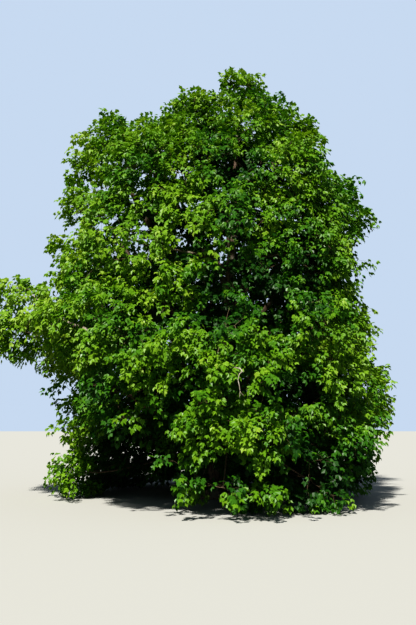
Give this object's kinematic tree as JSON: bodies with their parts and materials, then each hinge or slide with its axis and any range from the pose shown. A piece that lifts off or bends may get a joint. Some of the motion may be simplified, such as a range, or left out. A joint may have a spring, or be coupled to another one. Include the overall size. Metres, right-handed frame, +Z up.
{
  "type": "maple tree",
  "caption": "Broad-leaved maple in full spring leaf: a domed crown of foliage in overlapping shelves that sweeps down to the grass round a short flared trunk.",
  "frame": {"origin": "centre of the flat cut under the trunk, at ground level", "axes": "+Z straight up; +X to the right of someone who faces the broad side that the picture shows; +Y away from them"},
  "size_m": [8.38, 7.5, 8.94],
  "materials": {
    "bark": "rough fissured bark",
    "leaf_deep": "leaf surface, deep green",
    "leaf_mid": "leaf surface, fresh green",
    "leaf_bright": "leaf surface, yellow green"
  },
  "bodies": {
    "root": {"trunk": "bark", "bough_arm_left": "bark", "bough_shoulder_left": "bark", "bough_shoulder_left_inner": "bark", "bough_shoulder_right": "bark", "bough_top_right": "bark", "bough_high_left": "bark", "bough_high_right": "bark", "bough_high_front": "bark", "bough_shoulder_back_left": "bark", "bough_shoulder_back_right": "bark", "bough_middle_left": "bark", "bough_middle_front_left": "bark", "bough_middle_front_right": "bark", "bough_middle_right": "bark", "bough_middle_back_left": "bark", "bough_middle_back_right": "bark", "bough_lower_front": "bark", "bough_lower_right": "bark", "top_crest": "leaf_bright", "top_left": "leaf_mid", "top_right": "leaf_mid", "top_front": "leaf_bright", "top_back": "leaf_mid", "shoulder_left": "leaf_bright", "shoulder_left_inner": "leaf_mid", "shoulder_right": "leaf_mid", "shoulder_front_left": "leaf_bright", "shoulder_front_right": "leaf_mid", "shoulder_back_left": "leaf_mid", "shoulder_back_right": "leaf_deep", "high_left": "leaf_bright", "flank_left": "leaf_mid", "high_right": "leaf_bright", "flank_right": "leaf_mid", "high_front_left": "leaf_mid", "high_front": "leaf_bright", "high_front_right": "leaf_mid", "arm_left": "leaf_bright", "arm_left_top": "leaf_mid", "middle_left": "leaf_mid", "middle_front_left": "leaf_bright", "middle_front": "leaf_mid", "middle_front_right": "leaf_mid", "middle_right": "leaf_bright", "middle_back_left": "leaf_mid", "middle_back": "leaf_deep", "middle_back_right": "leaf_mid", "lower_left": "leaf_mid", "lower_front_left": "leaf_deep", "lower_front": "leaf_bright", "lower_front_right": "leaf_deep", "lower_right": "leaf_bright", "lower_back_left": "leaf_mid", "lower_back": "leaf_deep", "lower_back_right": "leaf_mid", "skirt_left": "leaf_bright", "skirt_front": "leaf_bright", "skirt_front_right": "leaf_bright", "skirt_right": "leaf_deep"}
  },
  "joints": []
}
